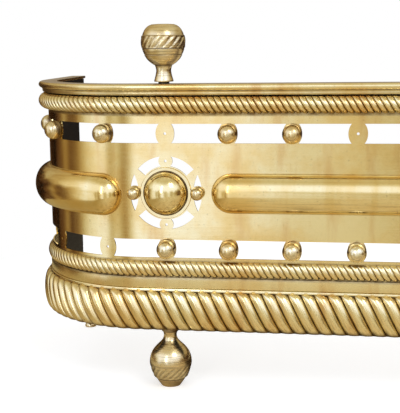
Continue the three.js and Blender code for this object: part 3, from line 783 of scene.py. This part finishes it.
def make_rail():
    """A flat plate with a round nose, over a cove."""
    z_low, z_high = heights("top_rail")
    overrun = boxes["top_rail"][1][1] - wall_high[1]
    plate_low = heights("iron_top_bar")[1] + CLEARANCE
    nose_low = z_high - NOSE_HEIGHT
    nose_middle, nose_half = middle_and_half(nose_low, z_high)
    reach, back = proud("top_rail"), -RAIL_INWARD
    bead = arc(reach - nose_half * 1.05, nose_middle, nose_half * 1.05, nose_half, -80, 88, 12)
    section = [
        (3.2 * MM, z_low), (4.5 * MM, z_low), (4.7 * MM, z_low + 0.3 * MM),
        *arc(6.6 * MM, z_low + 2.0 * MM, 1.7 * MM, 1.5 * MM, 200, 130, 5),
        (5.5 * MM, nose_low - 0.1 * MM), (4.9 * MM, nose_low + 0.15 * MM),
        *bead,
        (back + 0.8 * MM, z_high), (back + 0.2 * MM, z_high - 0.2 * MM), (back, z_high - 0.8 * MM),
        (back, plate_low + 0.6 * MM), (back + 0.4 * MM, plate_low), (3.2 * MM, plate_low),
    ]

    def recess_at(out, z):
        # painted shade in the cove under the nose, darkest in the groove beneath it
        groove = 1 - step_up(abs(z - nose_low), 0.2 * MM, 0.9 * MM)
        if 4.2 * MM < out < 6.6 * MM:
            return max(groove, 0.25)
        return 0.0

    piece = sweep("rail_capping", section, rail_brass, -path_end - overrun, path_end + overrun,
                  recess_at, sharp=50)
    return finish_piece(piece, "rail_brass", "top_rail")


def bar_section(out_low, out_high, z_low, z_high, edge=0.4 * MM):
    """A rectangle with its corners broken."""
    return [(out_low + edge, z_low), (out_high - edge, z_low), (out_high, z_low + edge),
            (out_high, z_high - edge), (out_high - edge, z_high), (out_low + edge, z_high),
            (out_low, z_high - edge), (out_low, z_low + edge)]


def make_iron():
    for node, name, outs in (("iron_top_bar", "top_bar", TOP_BAR_OUT),
                             ("iron_base_frame", "base_bar", BASE_BAR_OUT)):
        bar = sweep(name, bar_section(*outs, *heights(node)), black_iron, sharp=30)
        finish_piece(bar, "black_iron", node)
    for side_name, side in SIDES:
        node = f"end_plate_{side_name}"
        rear = path_end - (wall_high[1] - boxes[node][1][1])
        ends = sorted((side * (rear - END_PLATE_LENGTH), side * rear))
        section = bar_section(*END_PLATE_OUT, *heights(node))
        plate = sweep(f"iron_{node}", section, black_iron, *ends, sharp=30)
        finish_piece(plate, "black_iron", node)


make_fillet()
make_rail()
make_iron()


# ---- Bosses ----

LONG_BOSS_HEIGHT = 35 * MM
LONG_BOSS_REACH = 13 * MM
LONG_BOSS_END_GAP = 40 * MM  # from the middle of the rosette
CORNER_BOSS_HEIGHT = 38 * MM
CORNER_BOSS_REACH = 14.7 * MM
CORNER_BOSS_DROP = 2.5 * MM  # below the middle of the rosette
CORNER_BOSS_END_GAP = 40 * MM
CORNER_BOSS_REAR_MARGIN = 25 * MM
BOSS_RIM = 0.6 * MM  # width and height of its flat rim
BOSS_STEPS = 18


def boss_outside(radius, reach):
    """Points (spread from the spine, out) from the rim up to the crown."""
    crown = radius - BOSS_RIM
    points = [(radius, SEAT), (radius, 0.45 * MM), (radius - 0.25 * MM, 0.7 * MM), (crown, BOSS_RIM)]
    for angle in spread(0, math.pi / 2, BOSS_STEPS)[1:]:
        points.append((crown * math.cos(angle), BOSS_RIM + (reach - BOSS_RIM) * math.sin(angle)))
    return points


def boss_inside(radius, reach):
    """The same from the crown back down along the hollow."""
    crown = radius - BOSS_RIM
    points = []
    for angle in reversed(spread(0, math.pi / 2, BOSS_STEPS)):
        out = SEAT + (reach - SHEET - SEAT) * math.sin(angle)
        points.append(((crown - SHEET) * math.cos(angle), out))
    return points


def boss_loop(spine):
    """A loop round the spine as (place, up, across): along it, round its end and back."""
    halfway = [(math.cos(angle), math.sin(angle)) for angle in spread(0, math.pi, 16)[1:-1]]
    loop = [(place, 1.0, 0.0) for place in spine]
    loop += [(spine[-1], up, across) for up, across in halfway]
    loop += [(place, -1.0, 0.0) for place in reversed(spine)]
    loop += [(spine[0], -up, -across) for up, across in halfway]
    return loop


def make_boss(name, node, ends, middle, height, reach):
    """A hollow pressing with round ends."""
    radius = height / 2
    crown = radius - BOSS_RIM
    outside, inside = boss_outside(radius, reach), boss_inside(radius, reach)
    spine = path_places(ends[0] + radius, ends[1] - radius, 12 * MM, 2.5 * MM)
    loop = boss_loop(spine)
    verts, uvs, recess = [], [], []
    for spread, out in outside + inside:
        # painted shade on the flat rim round the foot of the boss
        painted_shade = step_up(spread, crown - 0.4 * MM, crown + 0.1 * MM)
        painted_shade *= 1 - step_up(spread, radius - 0.3 * MM, radius)
        for place, up, across in loop:
            verts.append(on_path(place + spread * across, out, middle + spread * up))
            uvs.append((place + spread * across, middle + spread * up))
            recess.append(0.35 * painted_shade)
    count = len(loop)
    faces = tube_faces(len(outside), count, capped=False)
    hollow = tube_faces(len(inside), count, capped=False)
    faces += [tuple(len(outside) * count + v for v in face) for face in hollow]
    last = len(verts) - count
    faces += [(last + i, last + (i + 1) % count, (i + 1) % count, i) for i in range(count)]
    piece = make_piece(name, verts, faces, pressed_brass, uvs, recess, sharp=50)
    return finish_piece(piece, "pressed_brass", node)


long_end = rosette_places[1] - LONG_BOSS_END_GAP
make_boss("long_boss_pressing", "long_boss", (-long_end, long_end), PANEL_MIDDLE,
          LONG_BOSS_HEIGHT, LONG_BOSS_REACH)
for side_name, side in SIDES:
    front_end = side * (rosette_places[1] + CORNER_BOSS_END_GAP)
    rear_end = side * (path_end - CORNER_BOSS_REAR_MARGIN)
    make_boss(f"corner_boss_pressing_{side_name}", f"corner_boss_{side_name}",
              sorted((front_end, rear_end)), PANEL_MIDDLE - CORNER_BOSS_DROP,
              CORNER_BOSS_HEIGHT, CORNER_BOSS_REACH)


# ---- Rosettes ----

DOME_RADIUS = 18.7 * MM
DOME_REACH = 17 * MM
FLANGE_RADIUS = 22.6 * MM
FLANGE_THICKNESS = 1.5 * MM
GROOVE_DEPTH = 0.7 * MM  # of the groove between flange and dome
BALL_DIAMETER = 17 * MM
BALL_SEAT_DEPTH = 4.5 * MM  # of its middle in front of its flat back
ROSETTE_BALL_DIAMETER = 11.5 * MM
ROSETTE_BALL_SEAT_DEPTH = 4.6 * MM


def dome_profile():
    """Rivet behind the sheet, flange, groove and dome."""
    flange, thick = FLANGE_RADIUS, FLANGE_THICKNESS
    groove = thick - GROOVE_DEPTH
    points = [(0, -4 * MM), (1.6 * MM, -4 * MM), (2.2 * MM, -3.4 * MM), (2.2 * MM, -SHEET - 0.5 * MM),
              (1.9 * MM, -SHEET - 0.4 * MM), (1.9 * MM, 0), (flange - 0.3 * MM, 0), (flange, 0.3 * MM),
              (flange, thick - 0.4 * MM), (flange - 0.4 * MM, thick), (DOME_RADIUS + 1.2 * MM, thick),
              (DOME_RADIUS + 0.5 * MM, groove), (DOME_RADIUS + 0.1 * MM, groove)]
    for angle in spread(0, math.pi / 2, 22)[1:-1]:
        points.append((DOME_RADIUS * math.cos(angle), groove + (DOME_REACH - groove) * math.sin(angle)))
    return points + [(0, DOME_REACH)]


def dome_recess(radius, height, angle):
    """Painted shade in the groove round the dome."""
    if height > 3 * MM:
        return 0.0
    return 0.95 * (1 - step_up(abs(radius - DOME_RADIUS - 0.3 * MM), 0.3 * MM, 1.0 * MM))


def ball_profile(diameter, seat_depth):
    """A ball with a flat back, and a shank through the sheet with its end hammered over behind it."""
    radius = diameter / 2
    shank = 1.5 * MM
    points = [(0, -3.4 * MM), (1.4 * MM, -3.3 * MM), (2.3 * MM, -2.7 * MM), (2.5 * MM, -SHEET - 0.4 * MM),
              (shank, -SHEET - 0.3 * MM), (shank, 0)]
    start = math.asin(-seat_depth / radius)
    for angle in spread(start, math.pi / 2, 16)[:-1]:
        points.append((radius * math.cos(angle), seat_depth + radius * math.sin(angle)))
    return points + [(0, seat_depth + radius)]


def make_ball(node, place, z, diameter, seat_depth):
    def recess_at(distance, height, angle):
        # painted shade on the back of the ball, next to the sheet
        return 0.9 * (1 - step_up(height, 0.10 * diameter, 0.42 * diameter))

    piece = turned(f"{node}_turning", ball_profile(diameter, seat_depth), turned_brass,
                   outward_matrix(place, SEAT, z), 32, recess_at=recess_at)
    return finish_piece(piece, "turned_brass", node)


for (side_name, side), place in zip(SIDES, rosette_places):
    dome = turned(f"rosette_dome_pressing_{side_name}", dome_profile(), pressed_brass,
                  outward_matrix(place, SEAT, PANEL_MIDDLE), 56, recess_at=dome_recess)
    finish_piece(dome, "pressed_brass", f"rosette_dome_{side_name}")
    for position, step in (("outer", 1), ("inner", -1)):
        make_ball(f"rosette_ball_{side_name}_{position}", place + side * step * ROSETTE_RING, PANEL_MIDDLE,
                  ROSETTE_BALL_DIAMETER, ROSETTE_BALL_SEAT_DEPTH)

for node, place, z in seats:
    if node in boxes:
        make_ball(node, place, z, BALL_DIAMETER, BALL_SEAT_DEPTH)


# ---- Finials and feet ----

FINIAL_HEIGHT = 48.6 * MM
FINIAL_BAND = (28.4 * MM, 38.8 * MM)
FINIAL_LEAN = 50.0  # radians of turn a metre of height
FINIAL_SHANK = (2.5 * MM, 9 * MM)  # radius and length
FOOT_BAND = (8.9 * MM, 20.4 * MM)
FOOT_LEAN = 60.0
FOOT_SHANK_RADIUS = 3 * MM
FLUTES = 17
FLUTE_DEPTH = 1.7 * MM
FLUTE_FADE = 1.2 * MM
FOOT_SEAT = heights("gadroon_moulding")[0] - SEAT


def flute_cut(low, high, lean, height, angle):
    """How far into a flute of a band a point is, 0 on its ridge and 1 in the groove."""
    if not low < height < high:
        return 0.0
    fade = min(1.0, (height - low) / FLUTE_FADE, (high - height) / FLUTE_FADE)
    turn = FLUTES * (angle - lean * (height - low)) / (2 * math.pi)
    ridge = math.sqrt(max(0.0, 1 - abs(2 * (turn % 1) - 1) ** 2.4))
    return (1 - ridge) * fade


def ring_groove(height, middle, width=0.8 * MM):
    return 1 - step_up(abs(height - middle), 0, width)


def band_steps(low, high, radius_at):
    return [(radius_at(level), level) for level in spread(low, high, 14)]


def finial_profile():
    """Shank, flared neck, bowl, ridge, fluted band and crown, from the bottom up."""
    neck = rounded(mm_points([(8.3, 0.9), (7.5, 3.6), (6.7, 7.0), (6.4, 9.6), (6.8, 12.0), (7.5, 13.7)]), 4)
    bowl = rounded(mm_points([(8.2, 14.2), (11.3, 16.4), (14.2, 19.3), (16.1, 22.4)]), 5)
    ridge = rounded(mm_points([(16.3, 23.3), (17.4, 25.8), (18.0, 27.8)]), 4)
    crown = rounded(mm_points([(17.7, 39.3), (16.8, 41.8), (15.0, 44.8), (12.6, 47.0), (9.6, 48.3)]), 5)

    def band(height):
        t = (height / MM - 33.6) / 5.4
        return (19.1 - 0.7 * t * t) * MM

    radius, length = FINIAL_SHANK
    points = [(0, -length), (radius, -length), (radius, 0)] + mm_points([(8.0, 0), (8.3, 0.3)])
    points += neck + mm_points([(7.3, 14.0)]) + bowl + mm_points([(15.9, 22.8)]) + ridge
    points += mm_points([(17.7, 28.2)]) + band_steps(*FINIAL_BAND, band) + mm_points([(17.9, 39.0)])
    return points + crown + [(5 * MM, FINIAL_HEIGHT), (0, FINIAL_HEIGHT)]


def finial_shade(height):
    # painted shade in the ring grooves of the finial
    return max(ring_groove(height, 22.8 * MM), ring_groove(height, 28.2 * MM),
               0.6 * ring_groove(height, 39.1 * MM), ring_groove(height, 14.0 * MM, 1.4 * MM))


def front_foot_profile(shank_top):
    """Pad, fluted band, shoulder, neck, collar and shank, from the floor up."""
    pad = rounded(mm_points([(8.6, 0), (11.3, 3.9), (13.8, 7.6)]), 4)
    shoulder = rounded(mm_points([
        (19.0, 21.2), (18.7, 25), (17.6, 29), (15.9, 32.4), (13.4, 35.6), (10.6, 38.4),
        (8.2, 40.8), (6.6, 43.2), (5.8, 45.8), (6.0, 48.2), (6.5, 49.6),
    ]), 4)

    def band(height):
        t = (20.6 - height / MM) / 12
        return (18.9 - 3.6 * t ** 1.4) * MM

    collar = FOOT_SEAT + SEAT
    points = [(0, 0), (8.2 * MM, 0)] + pad + mm_points([(13.9, 8.1), (14.4, 8.7)])
    points += band_steps(*FOOT_BAND, band) + shoulder
    points += [(6.2 * MM, collar - 3.7 * MM), (7.4 * MM, collar - 3.3 * MM), (7.4 * MM, FOOT_SEAT)]
    return points + [(FOOT_SHANK_RADIUS, FOOT_SEAT), (FOOT_SHANK_RADIUS, shank_top), (0, shank_top)]


def front_foot_shade(height):
    # painted shade in the ring grooves of the foot, and on its collar under the moulding
    return max(ring_groove(height, 8.0 * MM, 0.9 * MM), 0.5 * ring_groove(height, 20.8 * MM),
               step_up(height, 49.4 * MM, 50.4 * MM))


def rear_foot_profile(shank_top):
    """A plain stem that widens at the floor and under the moulding."""
    points = mm_points([(0, 0), (5.7, 0), (6, 0.3), (6, 2.0), (5.2, 3.2), (4.3, 4.4), (4, 6), (4, 47),
                        (4.3, 48.8), (5.2, 50.2), (6, 51.6)])
    points += [(6 * MM, FOOT_SEAT), (FOOT_SHANK_RADIUS, FOOT_SEAT)]
    return points + [(FOOT_SHANK_RADIUS, shank_top), (0, shank_top)]


def fluted(band, lean, shade_at):
    """The ripple and the recess of a turning with flutes, with painted shade in the flutes; the function
    passed in gives its painted shade elsewhere, by height.
    """

    def ripple(height, angle):
        return -FLUTE_DEPTH * flute_cut(*band, lean, height, angle)

    def recess_at(radius, height, angle):
        return max(shade_at(height), 0.9 * flute_cut(*band, lean, height, angle) ** 1.5)

    return ripple, recess_at


def make_upright(kind, side_name, z, profile, segments, ripple=None, recess_at=None, sharp=55):
    """A brass turning over the middle of its node."""
    node = f"{kind}_{side_name}"
    spot = Matrix.Translation((centre(node).x, centre(node).y, z))
    piece = turned(f"{kind}_turning_{side_name}", profile, turned_brass, spot, segments, ripple,
                   recess_at, sharp)
    return finish_piece(piece, "turned_brass", node)


for side_name, _ in SIDES:
    finial_base = heights(f"finial_{side_name}")[1] - FINIAL_HEIGHT
    make_upright("finial", side_name, finial_base, finial_profile(), 96,
                 *fluted(FINIAL_BAND, FINIAL_LEAN, finial_shade))
    shank_top = heights(f"front_foot_{side_name}")[1]
    make_upright("front_foot", side_name, 0, front_foot_profile(shank_top), 96,
                 *fluted(FOOT_BAND, FOOT_LEAN, front_foot_shade))
    shank_top = heights(f"rear_foot_{side_name}")[1]
    make_upright("rear_foot", side_name, 0, rear_foot_profile(shank_top), 32, sharp=40)
    for kind, material in (("finial_washer", black_iron), ("foot_nut", nut_steel)):
        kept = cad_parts[f"{kind}_{side_name}"].data.materials
        kept.clear()
        kept.append(material)


# ---- Studio ----

FLOOR_RADIUS = 0.78
FLOOR_GLOW = 0.52  # seen by the camera alone, it lifts the open floor to white
FLOOR_PLAIN = (0.80, 0.80, 0.80)
# What polished brass sees of the floor: a painted reflection with blotches, darker near the fender and at
# its sides, and a painted shadow under it
FLOOR_REFLECTION_FAR = (0.90, 0.82, 0.60)
FLOOR_REFLECTION_NEAR = (0.88, 0.74, 0.48)
FLOOR_REFLECTION_ASIDE = (0.54, 0.42, 0.20)
FLOOR_REFLECTION_BLOTCH = (0.28, 0.17, 0.06)
FLOOR_SHADOW_UNDER = (0.07, 0.04, 0.015)


def make_floor():
    material, nodes, shader = new_material("floor")
    tree = nodes.tree
    tree.nodes.remove(shader)
    paths = nodes.add("ShaderNodeLightPath").outputs
    place = nodes.coords("Object")
    spot = nodes.axes(place)
    off_centre = nodes.math("ABSOLUTE", spot["X"])
    blotches = nodes.noise(place, 24.0, 3.0, 0.6)
    reflected_floor = nodes.mix(nodes.remap(spot["Y"], -0.42, -0.14), FLOOR_REFLECTION_FAR, FLOOR_REFLECTION_NEAR)
    reflected_floor = nodes.mix(nodes.remap(blotches, 0.46, 0.66, 0.0, 0.6), reflected_floor, FLOOR_REFLECTION_BLOTCH)
    reflected_floor = nodes.mix(nodes.remap(off_centre, 0.30, 0.62), reflected_floor, FLOOR_REFLECTION_ASIDE)
    # painted shadow of the fender on the floor, seen only in reflections
    under = nodes.times(nodes.remap(spot["Y"], -0.110, -0.055),
                        nodes.remap(spot["Y"], 0.12, 0.30, 1.0, 0.0))
    under = nodes.times(under, nodes.remap(off_centre, 0.38, 0.46, 1.0, 0.0))
    reflected_floor = nodes.mix(under, reflected_floor, FLOOR_SHADOW_UNDER)
    # glossy rays see the painted floor, other rays the plain one
    reflected_floor = nodes.mix(paths["Is Glossy Ray"], FLOOR_PLAIN, reflected_floor)
    diffuse = nodes.add("ShaderNodeBsdfDiffuse", {"Color": reflected_floor})
    camera_ray = paths["Is Camera Ray"]
    glow = nodes.add("ShaderNodeEmission", {"Strength": nodes.times(camera_ray, FLOOR_GLOW)})
    both = nodes.add("ShaderNodeAddShader", {0: diffuse.outputs[0], 1: glow.outputs[0]})
    nodes.put(tree.nodes["Material Output"].inputs["Surface"], both.outputs[0])
    mesh = bpy.data.meshes.new("floor")
    edit = bmesh.new()
    bmesh.ops.create_circle(edit, cap_ends=True, segments=96, radius=FLOOR_RADIUS)
    edit.to_mesh(mesh)
    edit.free()
    mesh.materials.append(material)
    floor = add_object("floor", mesh)


# How bright the room is round the horizon: degrees from straight in front, negative to the left
ROOM_BRIGHTNESS = [
    (-180, 0.04), (-160, 0.015), (-124, 0.03), (-112, 0.11), (-103, 0.40), (-95, 0.08), (-86, 0.20),
    (-78, 0.45), (-69, 0.75), (-56, 0.92), (-47, 0.90), (-41, 0.45), (-36, 0.72), (-26, 0.36),
    (-15, 0.96), (-9.5, 1.16), (-6.5, 1.04), (-4.6, 0.57), (-3.0, 0.66), (-1.0, 0.82), (1.0, 0.52),
    (8, 0.62), (20, 0.85), (32, 0.45), (42, 0.70), (56, 0.35), (72, 0.12), (90, 0.20), (110, 0.03),
]

# How bright it is away from the horizon
ABOVE_FRONT = (1.1, 1.1, 1.1)
ABOVE_SIDES = (0.45, 0.45, 0.45)
BELOW_HORIZON = (0.55, 0.55, 0.55)
CEILING = (0.62, 0.62, 0.62)
FILL_LIGHT = 0.72  # from all round, on what isn't polished

# The colour of each brightness: dim parts of the room are warm and the bright ones are cool
ROOM_COLOURS = [
    (0.0, (0.004, 0.001, 0.0)), (0.04, (0.045, 0.014, 0.003)), (0.14, (0.14, 0.072, 0.030)),
    (0.35, (0.37, 0.26, 0.10)), (0.62, (0.66, 0.60, 0.40)), (0.85, (0.93, 0.95, 0.95)),
    (1.0, (1.12, 1.22, 1.55)),
]


def ramp(nodes, factor, stops):
    node = nodes.add("ShaderNodeValToRGB", {"Fac": factor})
    elements = node.color_ramp.elements
    while len(elements) < len(stops):
        elements.new(0.5)
    for element, (position, colour) in zip(elements, sorted(stops)):
        element.position = position
        element.color = (*colour, 1.0)
    return node.outputs["Color"]


def make_world():
    """The camera sees plain white. Polished metal sees a room: dark at the sides and behind, uneven
    round the horizon, and white above it in front."""
    world = bpy.data.worlds.new("studio")
    bpy.context.scene.world = world
    world.use_nodes = True
    tree = world.node_tree
    nodes = Nodes(tree)
    tree.nodes.clear()
    direction = nodes.coords("Generated")
    axes = nodes.axes(direction)
    paths = nodes.add("ShaderNodeLightPath").outputs

    cloud = nodes.math("SUBTRACT", nodes.noise(direction, 6.0, 3.0, 0.55), 0.5)
    turn = nodes.math("ARCTAN2", axes["X"], nodes.times(axes["Y"], -1.0))
    turn = nodes.plus(nodes.math("DIVIDE", turn, 2 * math.pi), 0.5)
    stops = [(angle / 360 + 0.5, (value,) * 3) for angle, value in ROOM_BRIGHTNESS]
    horizon = ramp(nodes, turn, stops)
    sideways = nodes.remap(nodes.math("ABSOLUTE", nodes.math("SUBTRACT", turn, 0.5)), 0.14, 0.34)
    above = nodes.mix(sideways, ABOVE_FRONT, ABOVE_SIDES)
    rise = nodes.remap(nodes.plus(axes["Z"], nodes.times(cloud, 0.35)), 0.11, 0.32)
    below = nodes.remap(axes["Z"], -0.75, -0.25)
    level = nodes.mix(below, BELOW_HORIZON, horizon)
    level = nodes.mix(rise, level, above)
    level = nodes.mix(nodes.remap(axes["Z"], 0.50, 0.86), level, CEILING)
    level = nodes.plus(level, nodes.times(cloud, 0.45))
    room = ramp(nodes, level, ROOM_COLOURS)

    reflected = nodes.add("ShaderNodeBackground", {"Color": room, "Strength": 1.0})
    seen = nodes.add("ShaderNodeBackground", {"Color": (1, 1, 1, 1), "Strength": 1.0})
    light = nodes.add("ShaderNodeBackground", {"Color": (1, 1, 1, 1), "Strength": FILL_LIGHT})
    gloss = nodes.add("ShaderNodeMixShader", {0: paths["Is Glossy Ray"], 1: light.outputs[0],
                                              2: reflected.outputs[0]})
    direct = nodes.math("MAXIMUM", paths["Is Camera Ray"], paths["Is Transmission Ray"])
    final = nodes.add("ShaderNodeMixShader", {0: direct, 1: gloss.outputs[0], 2: seen.outputs[0]})
    nodes.add("ShaderNodeOutputWorld", {"Surface": final.outputs[0]})


def make_lamp(name, place, target, size, radiance):
    """A soft box that faces the target; its brightness is given as radiance."""
    data = bpy.data.lights.new(name, "AREA")
    data.shape = "RECTANGLE"
    data.size, data.size_y = size
    data.energy = radiance * math.pi * size[0] * size[1]
    lamp = add_object(name, data)
    lamp.location = place
    lamp.rotation_euler = (Vector(target) - Vector(place)).to_track_quat("-Z", "Y").to_euler()


CAMERA_PLACE = (-0.1597, -0.9528, 0.3105)
CAMERA_TURN = (-0.161, 0.165, -0.014)  # radians: to the right, down, and its right side up
CAMERA_FOCAL = 1022.4 / 400  # in widths of the picture


def make_camera():
    """The photograph's view, fitted to its ball pitch, rail and feet."""
    yaw, pitch, roll = CAMERA_TURN
    level = Vector((math.cos(yaw), -math.sin(yaw), 0))
    ahead = Vector((math.sin(yaw), math.cos(yaw), 0))
    forward = ahead * math.cos(pitch) - Vector((0, 0, 1)) * math.sin(pitch)
    up = level.cross(forward)
    right = level * math.cos(roll) + up * math.sin(roll)
    up = up * math.cos(roll) - level * math.sin(roll)
    data = bpy.data.cameras.new("camera")
    data.sensor_fit = "HORIZONTAL"
    data.sensor_width = 36
    data.lens = data.sensor_width * CAMERA_FOCAL
    camera = add_object("camera", data)
    turn = Matrix((right, up, -forward)).transposed().to_4x4()
    camera.matrix_world = Matrix.Translation(CAMERA_PLACE) @ turn
    bpy.context.scene.camera = camera


make_floor()
make_world()
make_lamp("strip", place=(-1.0, -2.4, 1.1), target=(-0.2, 0, 0.2), size=(0.28, 1.5), radiance=3.8)
make_lamp("window", place=(1.0, -1.7, 2.1), target=(-0.1, 0, 0.2), size=(0.9, 1.0), radiance=4.0)
make_camera()
bpy.context.scene.view_settings.view_transform = "Standard"
